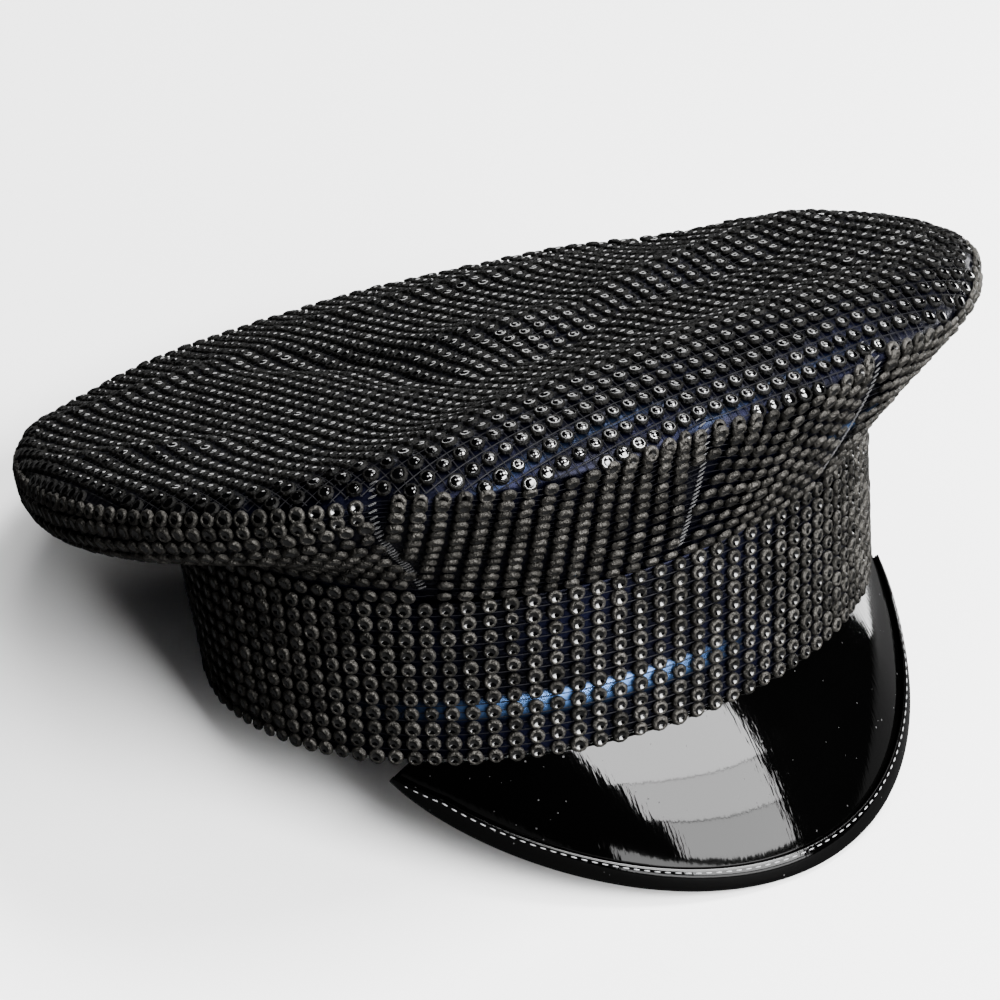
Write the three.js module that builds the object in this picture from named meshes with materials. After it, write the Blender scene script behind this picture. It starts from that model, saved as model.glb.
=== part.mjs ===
// A peaked cap with a wide soft crown, lying on a table: navy satin cloth under a mesh covered in
// small black stones, a stiff upright band, and a steep patent leather peak with a bound edge.
//
// The cap is drawn as it is worn: +Z up, the front towards -Y, the wearer's left towards +X, and
// the bottom edge of the band in the plane z = 0. Azimuths run from the front towards the wearer's
// left. At the end the cap is tipped back until it rests on its peak and the back of its band.
// Lengths are millimetres and angles are degrees.

import * as THREE from "three";

// Layers of the wall, counted inwards from the face of the stones
const STONE_LAYER = 1.6;
const LAYER_GAP = 0.3;
const CROWN_SATIN = 1.2;
const BAND_SATIN = 2.0;
const SATIN_FACE = STONE_LAYER + LAYER_GAP;

// Band: an oval wall that opens a little towards its top and is taller at the back
const BAND_WIDTH = 200.4;
const BAND_LENGTH = 181.2;
const BAND_FLARE = 2.7;
const BAND_HEIGHT_FRONT = 48;
const BAND_HEIGHT_BACK = 49;

// Crown outline from above: a mean radius and its waves, round a centre behind the band's middle
const CROWN_RADIUS = 138.4;
const CROWN_CENTRE_Y = 6.9;
const CROWN_OUTLINE = [
  { turns: 1, along: -6.1, across: -1.6 },
  { turns: 2, along: -1.6, across: 0 },
  { turns: 3, along: -5.9, across: 0 },
];

// Crown edge: its height at the centre, its slope down to the back and to the wearer's left, and
// how much higher it is at the sides than at the front and the back
const EDGE_HEIGHT = 69.7;
const EDGE_FALL_BACK = 0.208;
const EDGE_FALL_LEFT = 0.05;
const EDGE_SADDLE = 3.5;

// Section of the crown: each size as a mean, and how much more it is at the front and the sides
const SECTION = {
  rollInward: { mean: 12.5, front: 8, sides: 0 },
  rollHeight: { mean: 8, front: 0, sides: 0 },
  edgeDrop: { mean: 14.4, front: -9.7, sides: 14.6 },
  seamOut: { mean: 15.5, front: -6.5, sides: -14 },
  seamUp: { mean: 6.7, front: 6.7, sides: 17.3 },
};

// Seams between the side panels, and the groove that each one pulls into the edge
const SEAM_AZIMUTHS = { rightFront: -51.4, centreRight: -12, centreLeft: 17.5, leftFront: 51.4 };
const CENTRE_BACK = 180;
const GROOVE_DEPTH = 1.6;
const GROOVE_WIDTH = 3;
const GROOVE_LEVEL = 1.9;
const GROOVE_REACH = 0.5;

// Edge seam between the top and the side panels: its level in the section, and how far the
// stretched top is pulled down between two front seams
const EDGE_SEAM_LEVEL = 1.7;
const EDGE_SEAM_SAG = 0.3;

// Half the gap at the seams: as a share of the section at the edge, and in degrees at the panels
const EDGE_SEAM_GAP = 0.02;
const PANEL_SEAM_GAP = 0.12;

// Soft ridges and dents of the top: place, half length, half width, direction and height
const FOLDS = [
  { name: "long ridge above the front edge", x: -8, y: -77, length: 105, width: 25, turn: 0, height: 10 },
  { name: "ridge to the left corner", x: 92, y: -50, length: 34, width: 8, turn: -20, height: 2.6 },
  { name: "ridge across the left side", x: 82, y: 19, length: 40, width: 10, turn: 0, height: 3.0 },
  { name: "raised pad in the middle", x: 14, y: 20, length: 27, width: 15, turn: -41, height: 3.8 },
  { name: "dent behind the pad", x: -20, y: 62, length: 34, width: 11, turn: 100, height: -3.4 },
  { name: "dent beside the pad", x: -27, y: 12, length: 27, width: 10, turn: 84, height: -3.0 },
  { name: "dent in front of the pad", x: 8, y: -11, length: 30, width: 9, turn: 12, height: -3.2 },
  { name: "ridge at the back left", x: 50, y: 92, length: 40, width: 10, turn: -33, height: 2.6 },
  { name: "ridge at the back right", x: -56, y: 101, length: 36, width: 9, turn: 5, height: 2.8 },
  { name: "ridge at the right side", x: -106, y: 22, length: 28, width: 8, turn: -58, height: 2.2 },
  { name: "dent beside the left ridge", x: 70, y: -4, length: 38, width: 9, turn: -6, height: -2.6 },
  { name: "sag of the left edge", x: 112, y: 68, length: 30, width: 30, turn: -65, height: -4.6 },
  { name: "sag of the right back edge", x: -60, y: 137, length: 34, width: 30, turn: 25, height: -3.2 },
  { name: "sag of the back edge", x: 15, y: 152, length: 60, width: 30, turn: 0, height: -2 },
  { name: "sag of the left back edge", x: 78, y: 118, length: 30, width: 28, turn: -45, height: -2 },
];

// Peak: the ends of its edge on the band and how far both turn to the wearer's right, its reach
// forwards and downwards, and its sheet
const PEAK_END_AZIMUTH = 62.2;
const PEAK_END_SKEW = 3.2;
const PEAK_REACH = 68;
const PEAK_REACH_POWER = 1.48;
const PEAK_DROP = 48.6;
const PEAK_DROP_POWER = 1.18;
const PEAK_SHEET = 2.2;
const PEAK_BULGE = 3;
const PEAK_BULGE_RISE = 0.7;
const PEAK_BELOW_BAND = 1.0;
const PEAK_SWEEP = 81;

// Binding: a strip folded over the edge of the peak
const BINDING_WIDTH = 7;
const BINDING_LEATHER = 0.9;
const BINDING_BEND = 1.5;
const BINDING_GAP = 0.75;
const BINDING_END_SHARE = 0.4;
const BINDING_ROUNDING = 0.6;

// How finely the curved walls are divided
const SIDE_PANEL_STEPS = 20;
const FRONT_PANEL_STEPS = 6;
const TOP_ROWS = [0.15, 0.3, 0.42, 0.53, 0.63, 0.73, 0.82, 0.91, 1];
const ROLL_ROWS = [0.5, 1];
const SIDE_ROWS = [0.18, 0.4, 0.6, 0.8, 1];
const BAND_ROWS = [0, 0.5, 1];
const PEAK_ROWS = [0, 0.25, 0.5, 0.75, 0.9, 1];
const PEAK_STEPS = 34;
const SMALL_STEP = 1e-3;

const STONE_BLACK = { color: 0x0d0d10, roughness: 0.25, metalness: 0.3 };
const NAVY_SATIN = { color: 0x141c3c, roughness: 0.45, metalness: 0 };
const PATENT_BLACK = { color: 0x060607, roughness: 0.06, metalness: 0 };

const radians = THREE.MathUtils.degToRad;
const mix = THREE.MathUtils.lerp;

function sized({ mean, front, sides }, azimuth) {
  return mean + front * Math.cos(azimuth) + sides * Math.sin(azimuth) ** 4;
}

function spread(from, to, steps) {
  return Array.from({ length: steps + 1 }, (_, i) => mix(from, to, i / steps));
}

// A point on the outer face of the band. Level 0 is its top edge and level 1 its bottom edge.
function bandFace(azimuth, level) {
  const flare = BAND_FLARE * (1 - level);
  const height = mix(BAND_HEIGHT_FRONT, BAND_HEIGHT_BACK, (1 - Math.cos(azimuth)) / 2);
  return new THREE.Vector3(
    (BAND_WIDTH / 2 + flare) * Math.sin(azimuth),
    -(BAND_LENGTH / 2 + flare) * Math.cos(azimuth),
    height * (1 - level),
  );
}

// How much the seams between the side panels pull the face inwards.
function groove(azimuth, level) {
  const across = Object.values(SEAM_AZIMUTHS)
    .map((seam) => Math.exp(-(((azimuth - radians(seam)) / radians(GROOVE_WIDTH)) ** 2)))
    .reduce((sum, value) => sum + value, 0);
  return GROOVE_DEPTH * across * Math.exp(-(((level - GROOVE_LEVEL) / GROOVE_REACH) ** 2));
}

// The widest point of the crown at an azimuth.
function crownEdge(azimuth) {
  const radius = CROWN_OUTLINE.reduce((sum, { turns, along, across }) => {
    const turned = turns * azimuth;
    return sum + along * Math.cos(turned) + across * Math.sin(turned);
  }, CROWN_RADIUS);
  const x = radius * Math.sin(azimuth);
  const y = CROWN_CENTRE_Y - radius * Math.cos(azimuth);
  const height = edgePlane(x, y) - EDGE_SADDLE * Math.cos(2 * azimuth);
  return { radius, point: new THREE.Vector3(x, y, height) };
}

function edgePlane(x, y) {
  return EDGE_HEIGHT - EDGE_FALL_BACK * (y - CROWN_CENTRE_Y) - EDGE_FALL_LEFT * x;
}

// Height that the soft ridges and dents add to the top.
function foldHeight(x, y) {
  return FOLDS.reduce((sum, fold) => {
    const turn = radians(fold.turn);
    const along = (x - fold.x) * Math.cos(turn) + (y - fold.y) * Math.sin(turn);
    const across = (y - fold.y) * Math.cos(turn) - (x - fold.x) * Math.sin(turn);
    const reach = (along / fold.length) ** 2 + (across / fold.width) ** 2;
    return sum + fold.height * Math.exp(-reach);
  }, 0);
}

// The top and its rolled edge. Level 0 is the centre, 1 the start of the roll, 2 the widest point.
function topFace(azimuth, level) {
  const edge = crownEdge(azimuth);
  const inward = sized(SECTION.rollInward, azimuth);
  const bend = Math.min(2 - level, 1) * (Math.PI / 2);
  const rolled = 1 - (inward * (1 - Math.cos(bend))) / edge.radius;
  const share = rolled * Math.min(level, 1);
  const x = edge.point.x * share;
  const y = mix(CROWN_CENTRE_Y, edge.point.y, share);
  const saddle = EDGE_SADDLE * Math.cos(2 * azimuth) * share ** 2;
  const roll = sized(SECTION.rollHeight, azimuth) * Math.sin(bend);
  const fold = foldHeight(x, y) * Math.sin(bend) ** 2;
  return new THREE.Vector3(x, y, edgePlane(x, y) - saddle + roll + fold);
}

// The side, from the widest point at level 2 down and in to the top of the band at level 3.
function sideFace(azimuth, level) {
  const edge = crownEdge(azimuth).point;
  const seam = bandFace(azimuth, 0);
  seam.z += LAYER_GAP;
  const out = new THREE.Vector3(edge.x - seam.x, edge.y - seam.y, 0).normalize();
  const belowEdge = edge.clone();
  belowEdge.z -= sized(SECTION.edgeDrop, azimuth);
  const besideSeam = seam.clone().addScaledVector(out, sized(SECTION.seamOut, azimuth));
  besideSeam.z += sized(SECTION.seamUp, azimuth);
  return new THREE.CubicBezierCurve3(edge, belowEdge, besideSeam, seam).getPoint(level - 2);
}

// A point on the outer face of the whole crown.
function crownFace(azimuth, level) {
  const point = level < 2 ? topFace(azimuth, level) : sideFace(azimuth, level);
  const inward = new THREE.Vector3(-Math.sin(azimuth), Math.cos(azimuth), 0);
  return point.addScaledVector(inward, groove(azimuth, level));
}

// Level of the seam between the top and the side panels.
function edgeSeam(azimuth) {
  const seams = Object.values(SEAM_AZIMUTHS).map(radians);
  const next = seams.findIndex((seam) => seam > azimuth);
  if (next < 1) {
    return EDGE_SEAM_LEVEL;
  }
  const share = (azimuth - seams[next - 1]) / (seams[next] - seams[next - 1]);
  return EDGE_SEAM_LEVEL + EDGE_SEAM_SAG * Math.sin(Math.PI * share) ** 2;
}

// The middle of the peak's sheet. Sweep runs from one end to the other, and level from the band
// to the outer edge.
function peakMiddle(sweep, level) {
  const ends = radians(PEAK_END_AZIMUTH - PEAK_END_SKEW * Math.sin(sweep));
  const underWall = (SATIN_FACE + BAND_SATIN) / 2;
  const halfWidth = BAND_WIDTH / 2 - underWall;
  const halfLength = BAND_LENGTH / 2 - underWall;
  const azimuth = (sweep / (Math.PI / 2)) * ends;
  const inner = new THREE.Vector3(
    halfWidth * Math.sin(azimuth),
    -halfLength * Math.cos(azimuth),
    -PEAK_BELOW_BAND,
  );
  const forward = Math.cos(sweep);
  const outer = new THREE.Vector3(
    halfWidth * Math.sin(ends) * Math.sin(sweep),
    -halfLength * Math.cos(ends) - PEAK_REACH * forward ** PEAK_REACH_POWER,
    -PEAK_BELOW_BAND - (PEAK_DROP - PEAK_BELOW_BAND) * forward ** PEAK_DROP_POWER,
  );
  const bulge = new THREE.Vector3(Math.sin(azimuth), -Math.cos(azimuth), PEAK_BULGE_RISE);
  const lift = PEAK_BULGE * 4 * level * (1 - level) * forward;
  return inner.lerp(outer, level).addScaledVector(bulge.normalize(), lift);
}

// The same sheet, with level 1 where its leather ends inside the fold of the binding.
function peakSheet(sweep, level) {
  const length = peakMiddle(sweep, 0).distanceTo(peakMiddle(sweep, 1));
  const inset = BINDING_BEND + LAYER_GAP;
  return peakMiddle(sweep, level * (1 - inset / length));
}

// Outward normal of a face at a place on it.
function faceNormal(face, u, v) {
  const alongU = face(u + SMALL_STEP, v).sub(face(u - SMALL_STEP, v));
  const alongV = face(u, v + SMALL_STEP).sub(face(u, v - SMALL_STEP));
  return alongV.cross(alongU).normalize();
}

function facePoint(face, u, v, depth) {
  return face(u, v).addScaledVector(faceNormal(face, u, v), -depth);
}

// A wall that follows a face from one depth below it to another, as one closed body. A ring goes
// all the way round, and a pole closes it at the centre.
function wall(face, columns, rowsOf, depths, { ring = false, pole = false } = {}) {
  const positions = [];
  const index = [];
  const addPoint = (point) => positions.push(...point.toArray()) / 3 - 1;
  const layers = depths.map((depth) =>
    columns.map((u) => rowsOf(u).map((v) => addPoint(facePoint(face, u, v, depth)))),
  );
  const [outer, inner] = layers;
  const addQuad = (a, b, c, d, flipped) => {
    index.push(...(flipped ? [a, c, b, a, d, c] : [a, b, c, a, c, d]));
  };
  const count = columns.length;
  const last = outer[0].length - 1;
  const pairs = ring ? count : count - 1;
  for (let i = 0; i < pairs; i += 1) {
    const next = (i + 1) % count;
    for (let j = 0; j < last; j += 1) {
      addQuad(outer[i][j], outer[i][j + 1], outer[next][j + 1], outer[next][j], false);
      addQuad(inner[i][j], inner[i][j + 1], inner[next][j + 1], inner[next][j], true);
    }
    addQuad(outer[i][last], inner[i][last], inner[next][last], outer[next][last], false);
    if (!pole) {
      addQuad(outer[i][0], inner[i][0], inner[next][0], outer[next][0], true);
    }
  }
  if (pole) {
    const up = faceNormal(face, 0, 2 * SMALL_STEP);
    const [top, under] = depths.map((depth) => addPoint(face(0, 0).addScaledVector(up, -depth)));
    for (let i = 0; i < count; i += 1) {
      const next = (i + 1) % count;
      index.push(top, outer[i][0], outer[next][0]);
      index.push(under, inner[next][0], inner[i][0]);
    }
  }
  if (!ring) {
    for (let j = 0; j < last; j += 1) {
      const end = count - 1;
      addQuad(outer[end][j], outer[end][j + 1], inner[end][j + 1], inner[end][j], false);
      addQuad(outer[0][j], outer[0][j + 1], inner[0][j + 1], inner[0][j], true);
    }
  }
  return solid(positions, index);
}

function solid(positions, index) {
  const geometry = new THREE.BufferGeometry();
  geometry.setAttribute("position", new THREE.Float32BufferAttribute(positions, 3));
  geometry.setIndex(index);
  geometry.computeVertexNormals();
  return geometry;
}

function piece(name, geometry, finish) {
  const mesh = new THREE.Mesh(geometry, new THREE.MeshStandardMaterial(finish));
  mesh.name = name;
  return mesh;
}

// Azimuths of a side panel's columns, from one seam to the next.
function panelColumns({ from, to, steps }) {
  return spread(radians(from), radians(to), steps);
}

const { rightFront, centreRight, centreLeft, leftFront } = SEAM_AZIMUTHS;
const SIDE_PANELS = [
  { name: "side_panel_right", from: -CENTRE_BACK, to: rightFront, steps: SIDE_PANEL_STEPS },
  { name: "front_panel_right", from: rightFront, to: centreRight, steps: FRONT_PANEL_STEPS },
  { name: "front_panel_centre", from: centreRight, to: centreLeft, steps: FRONT_PANEL_STEPS },
  { name: "front_panel_left", from: centreLeft, to: leftFront, steps: FRONT_PANEL_STEPS },
  { name: "side_panel_left", from: leftFront, to: CENTRE_BACK, steps: SIDE_PANEL_STEPS },
];
const ALL_COLUMNS = SIDE_PANELS.flatMap((panel) => panelColumns(panel).slice(0, -1));
const WHOLE = { ring: true, pole: true };

const rollLevels = (azimuth) => ROLL_ROWS.map((share) => mix(1, edgeSeam(azimuth), share));
const sideLevels = (azimuth) => SIDE_ROWS.map((share) => mix(edgeSeam(azimuth), 3, share));

function crownSatin() {
  const rows = (azimuth) => [...TOP_ROWS, ...rollLevels(azimuth), ...sideLevels(azimuth)];
  const depths = [SATIN_FACE, SATIN_FACE + CROWN_SATIN];
  return piece("crown_satin", wall(crownFace, ALL_COLUMNS, rows, depths, WHOLE), NAVY_SATIN);
}

function crownTopStones() {
  const rows = (azimuth) => {
    const levels = [...TOP_ROWS, ...rollLevels(azimuth)];
    return [...levels.slice(0, -1), levels.at(-1) - EDGE_SEAM_GAP];
  };
  const geometry = wall(crownFace, ALL_COLUMNS, rows, [0, STONE_LAYER], WHOLE);
  return piece("crown_top_stones", geometry, STONE_BLACK);
}

function sidePanelStones(panel) {
  const columns = panelColumns(panel);
  columns[0] += radians(PANEL_SEAM_GAP);
  columns[panel.steps] -= radians(PANEL_SEAM_GAP);
  const rows = (azimuth) => [edgeSeam(azimuth) + EDGE_SEAM_GAP, ...sideLevels(azimuth)];
  return piece(panel.name, wall(crownFace, columns, rows, [0, STONE_LAYER]), STONE_BLACK);
}

function bandLayer(name, depths, finish) {
  const geometry = wall(bandFace, ALL_COLUMNS, () => BAND_ROWS, depths, { ring: true });
  return piece(name, geometry, finish);
}

const peakSweeps = spread(-radians(PEAK_SWEEP), radians(PEAK_SWEEP), PEAK_STEPS);

function peak() {
  const depths = [-PEAK_SHEET / 2, PEAK_SHEET / 2];
  return piece("peak", wall(peakSheet, peakSweeps, () => PEAK_ROWS, depths), PATENT_BLACK);
}

// Section of the binding as distances inwards from the edge and above the middle of the sheet.
function bindingSection(width) {
  const inside = PEAK_SHEET / 2 + BINDING_GAP;
  const outside = inside + BINDING_LEATHER;
  const bend = BINDING_BEND - BINDING_LEATHER;
  const half = [
    [width, inside],
    [width, outside],
    [BINDING_BEND, outside],
    [bend / 2, outside * BINDING_ROUNDING],
  ];
  const fold = [
    [0, 0],
    [bend / 2, -outside * BINDING_ROUNDING],
    [BINDING_BEND, -outside],
    [width, -outside],
    [width, -inside],
  ];
  const hollow = [
    [BINDING_BEND, -inside],
    [BINDING_LEATHER + bend / 2, 0],
    [BINDING_BEND, inside],
  ];
  return [...half, ...fold, ...hollow].map(([inward, height]) => new THREE.Vector2(inward, height));
}

function peakBinding() {
  const positions = [];
  const rings = peakSweeps.map((sweep) => {
    const edge = peakMiddle(sweep, 1);
    const length = edge.distanceTo(peakMiddle(sweep, 0));
    const section = bindingSection(Math.min(BINDING_WIDTH, length * BINDING_END_SHARE));
    const up = faceNormal(peakMiddle, sweep, 1 - 2 * SMALL_STEP);
    const along = peakMiddle(sweep + SMALL_STEP, 1).sub(peakMiddle(sweep - SMALL_STEP, 1));
    const inward = along.cross(up).negate().normalize();
    return section.map(({ x, y }) => {
      const point = edge.clone().addScaledVector(inward, x).addScaledVector(up, y);
      return positions.push(...point.toArray()) / 3 - 1;
    });
  });
  const index = [];
  const count = rings[0].length;
  for (let i = 0; i < PEAK_STEPS; i += 1) {
    for (let j = 0; j < count; j += 1) {
      const next = (j + 1) % count;
      const [a, b, c, d] = [rings[i][j], rings[i][next], rings[i + 1][next], rings[i + 1][j]];
      index.push(a, b, c, a, c, d);
    }
  }
  THREE.ShapeUtils.triangulateShape(bindingSection(BINDING_WIDTH), []).forEach(([a, b, c]) => {
    index.push(rings[0][a], rings[0][c], rings[0][b]);
    index.push(rings[PEAK_STEPS][a], rings[PEAK_STEPS][b], rings[PEAK_STEPS][c]);
  });
  return piece("peak_binding", solid(positions, index), PATENT_BLACK);
}

// The cap tips about the back of its band until the edge of the peak is as low.
function restingTilt(binding) {
  const places = binding.geometry.getAttribute("position");
  let tilt = 0;
  for (let i = 0; i < places.count; i += 1) {
    tilt = Math.max(tilt, Math.atan2(-places.getZ(i), BAND_LENGTH / 2 - places.getY(i)));
  }
  return tilt;
}

const worn = new THREE.Group();
const binding = peakBinding();
worn.add(
  crownSatin(),
  crownTopStones(),
  ...SIDE_PANELS.map(sidePanelStones),
  bandLayer("band_satin", [SATIN_FACE, SATIN_FACE + BAND_SATIN], NAVY_SATIN),
  bandLayer("band_stones", [0, STONE_LAYER], STONE_BLACK),
  peak(),
  binding,
);
worn.rotation.x = -restingTilt(binding);

// At rest the origin is under the middle of the cap, on the table.
const cap = new THREE.Group();
cap.add(worn);
cap.updateMatrixWorld(true);
const reach = new THREE.Box3().setFromObject(cap, true);
const middle = reach.getCenter(new THREE.Vector3());
worn.position.set(-middle.x, -middle.y, -reach.min.z);

export default cap;
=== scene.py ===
"""A peaked cap covered in black stones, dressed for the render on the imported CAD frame.

The cap is drawn as it is worn, in millimetres: +Z up, the front towards -Y, azimuths running from
the front towards the wearer's left. `CapForm.at_rest` then tips each point back to the place where
the cap lies, as the CAD does, and meshes are written in metres.
"""

import logging
import math
from dataclasses import dataclass, field
from enum import Enum
from typing import Callable, Iterable, Sequence

import bmesh
import bpy
import numpy as np
from mathutils import Matrix, Vector


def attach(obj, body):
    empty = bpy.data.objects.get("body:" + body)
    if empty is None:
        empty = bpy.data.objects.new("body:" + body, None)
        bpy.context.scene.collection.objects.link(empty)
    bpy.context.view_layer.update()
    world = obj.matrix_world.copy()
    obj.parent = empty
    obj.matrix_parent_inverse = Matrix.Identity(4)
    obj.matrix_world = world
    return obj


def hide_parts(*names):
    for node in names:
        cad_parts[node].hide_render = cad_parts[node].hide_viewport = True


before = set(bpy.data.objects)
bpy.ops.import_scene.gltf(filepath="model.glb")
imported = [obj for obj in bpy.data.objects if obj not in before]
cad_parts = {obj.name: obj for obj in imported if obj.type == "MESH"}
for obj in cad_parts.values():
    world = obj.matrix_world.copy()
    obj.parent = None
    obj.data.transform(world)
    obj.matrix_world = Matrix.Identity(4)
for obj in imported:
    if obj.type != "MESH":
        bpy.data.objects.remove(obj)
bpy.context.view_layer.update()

MM = 0.001
SEED = 7
BODY = "root"
Array = np.ndarray
Colour = tuple[float, float, float, float]
Face = Callable[[Array, Array], Array]
TINY_LEVEL = 1e-5
MERGE_DISTANCE = 0.01
FRAME_STEP = 2e-3
LAMP_TARGET_HEIGHT = 0.05

log = logging.getLogger("cap")


class Slot(Enum):
    """Material slots of the record."""

    STONES = "stone_mesh"
    SATIN = "navy_satin"
    LEATHER = "patent_leather"


@dataclass(frozen=True)
class SectionSize:
    """A size of the crown's section, as a mean and its growth at the front and at the sides."""

    mean: float
    front: float = 0.0
    sides: float = 0.0

    def at(self, azimuth: Array) -> Array:
        """Return the size at each azimuth."""
        return self.mean + self.front * np.cos(azimuth) + self.sides * np.sin(azimuth) ** 4


@dataclass(frozen=True)
class Fold:
    """A soft ridge of the top, or a dent where its height is negative."""

    x: float
    y: float
    length: float
    width: float
    turn: float
    height: float

    def lift(self, x: Array, y: Array) -> Array:
        """Return the height that the fold adds at each place."""
        turn = math.radians(self.turn)
        along = (x - self.x) * math.cos(turn) + (y - self.y) * math.sin(turn)
        across = (y - self.y) * math.cos(turn) - (x - self.x) * math.sin(turn)
        return self.height * np.exp(-((along / self.length) ** 2) - (across / self.width) ** 2)


CROWN_FOLDS = (
    Fold(-8, -77, 105, 25, 0, 10.0),
    Fold(92, -50, 34, 8, -20, 2.6),
    Fold(82, 19, 40, 10, 0, 3.0),
    Fold(14, 20, 27, 15, -41, 3.8),
    Fold(-20, 62, 34, 11, 100, -3.4),
    Fold(-27, 12, 27, 10, 84, -3.0),
    Fold(8, -11, 30, 9, 12, -3.2),
    Fold(50, 92, 40, 10, -33, 2.6),
    Fold(-56, 101, 36, 9, 5, 2.8),
    Fold(-106, 22, 28, 8, -58, 2.2),
    Fold(70, -4, 38, 9, -6, -2.6),
    Fold(112, 68, 30, 30, -65, -4.6),
    Fold(-60, 137, 34, 30, 25, -3.2),
    Fold(15, 152, 60, 30, 0, -2.0),
    Fold(78, 118, 30, 28, -45, -2.0),
)


@dataclass(frozen=True)
class OutlineWave:
    """One wave of the crown's outline: its turns round the cap and its two shares of the radius."""

    turns: int
    along: float
    across: float

    def at(self, azimuth: Array) -> Array:
        """Return what the wave adds to the radius at each azimuth."""
        return self.along * np.cos(self.turns * azimuth) + self.across * np.sin(self.turns * azimuth)


@dataclass(frozen=True)
class CapForm:
    """Sizes and faces of the whole cap, the same as those of the CAD solids."""

    stone_layer: float = 1.6
    layer_gap: float = 0.3
    band_satin: float = 2.0
    band_width: float = 200.4
    band_length: float = 181.2
    band_flare: float = 2.7
    band_height_front: float = 48.0
    band_height_back: float = 49.0
    crown_radius: float = 138.4
    crown_centre_y: float = 6.9
    outline: tuple = (OutlineWave(1, -6.1, -1.6), OutlineWave(2, -1.6, 0.0), OutlineWave(3, -5.9, 0.0))
    edge_height: float = 69.7
    edge_fall_back: float = 0.208
    edge_fall_left: float = 0.05
    edge_saddle: float = 3.5
    roll_inward: SectionSize = SectionSize(12.5, 8.0)
    roll_height: SectionSize = SectionSize(8.0)
    edge_drop: SectionSize = SectionSize(14.4, -9.7, 14.6)
    seam_out: SectionSize = SectionSize(15.5, -6.5, -14.0)
    seam_up: SectionSize = SectionSize(6.7, 6.7, 17.3)
    seams: tuple = (-51.4, -12.0, 17.5, 51.4)
    groove_depth: float = 1.6
    groove_width: float = 3.0
    groove_level: float = 1.9
    groove_reach: float = 0.5
    edge_seam_level: float = 1.7
    edge_seam_sag: float = 0.3
    peak_end: float = 62.2
    peak_end_skew: float = 3.2
    peak_reach: float = 68.0
    peak_reach_power: float = 1.48
    peak_drop: float = 48.6
    peak_drop_power: float = 1.18
    peak_sheet: float = 2.2
    peak_bulge: float = 3.0
    peak_bulge_rise: float = 0.7
    peak_below_band: float = 1.0
    peak_sweep: float = 81.0
    tilt: float = 13.780780453
    place: tuple = (1.57981, -20.16599, 21.58162)
    folds: tuple = CROWN_FOLDS

    def band_face(self, azimuth: Array, level: Array) -> Array:
        """Return points on the band's outer face, from its top (0) to its bottom edge (1)."""
        flare = self.band_flare * (1 - level)
        rise = (self.band_height_back - self.band_height_front) * (1 - np.cos(azimuth)) / 2
        return np.stack([
            (self.band_width / 2 + flare) * np.sin(azimuth),
            -(self.band_length / 2 + flare) * np.cos(azimuth),
            (self.band_height_front + rise) * (1 - level),
        ], axis=-1)

    def edge_radius(self, azimuth: Array) -> Array:
        """Return the crown's radius at its widest point."""
        return self.crown_radius + sum(wave.at(azimuth) for wave in self.outline)

    def edge_plane(self, x: Array, y: Array) -> Array:
        """Return the height of the plane through the crown's edge."""
        back = self.edge_fall_back * (y - self.crown_centre_y)
        return self.edge_height - back - self.edge_fall_left * x

    def crown_edge(self, azimuth: Array) -> Array:
        """Return the widest points of the crown."""
        radius = self.edge_radius(azimuth)
        x = radius * np.sin(azimuth)
        y = self.crown_centre_y - radius * np.cos(azimuth)
        height = self.edge_plane(x, y) - self.edge_saddle * np.cos(2 * azimuth)
        return np.stack([x, y, height], axis=-1)

    def top_face(self, azimuth: Array, level: Array) -> Array:
        """Return points of the top, from its centre (0) by the roll (1) to the widest point (2)."""
        radius = self.edge_radius(azimuth)
        edge = self.crown_edge(azimuth)
        bend = np.clip(2 - level, 0, 1) * (np.pi / 2)
        rolled = 1 - self.roll_inward.at(azimuth) * (1 - np.cos(bend)) / radius
        share = rolled * np.minimum(level, 1)
        x = edge[..., 0] * share
        y = self.crown_centre_y + (edge[..., 1] - self.crown_centre_y) * share
        saddle = self.edge_saddle * np.cos(2 * azimuth) * share ** 2
        roll = self.roll_height.at(azimuth) * np.sin(bend)
        fold = sum(one.lift(x, y) for one in self.folds) * np.sin(bend) ** 2
        return np.stack([x, y, self.edge_plane(x, y) - saddle + roll + fold], axis=-1)

    def side_face(self, azimuth: Array, level: Array) -> Array:
        """Return points of the side, from the widest point (2) to the top of the band (3)."""
        edge = self.crown_edge(azimuth)
        seam = self.band_face(azimuth, np.zeros_like(azimuth))
        seam[..., 2] += self.layer_gap
        out = edge - seam
        out[..., 2] = 0
        out = out / np.linalg.norm(out, axis=-1, keepdims=True)
        below = edge.copy()
        below[..., 2] -= self.edge_drop.at(azimuth)
        beside = seam + out * self.seam_out.at(azimuth)[..., None]
        beside[..., 2] += self.seam_up.at(azimuth)
        t = np.clip(level - 2, 0, 1.01)[..., None]
        start = (1 - t) ** 3 * edge + 3 * t * (1 - t) ** 2 * below
        return start + 3 * t ** 2 * (1 - t) * beside + t ** 3 * seam

    def crown_face(self, azimuth: Array, level: Array) -> Array:
        """Return points on the outer face of the whole crown."""
        on_top = (level < 2)[..., None]
        point = np.where(on_top, self.top_face(azimuth, level), self.side_face(azimuth, level))
        width = math.radians(self.groove_width)
        across = sum(np.exp(-(((azimuth - math.radians(seam)) / width) ** 2)) for seam in self.seams)
        down = np.exp(-(((level - self.groove_level) / self.groove_reach) ** 2))
        inward = np.stack([-np.sin(azimuth), np.cos(azimuth), np.zeros_like(azimuth)], axis=-1)
        return point + inward * (self.groove_depth * across * down)[..., None]

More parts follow.
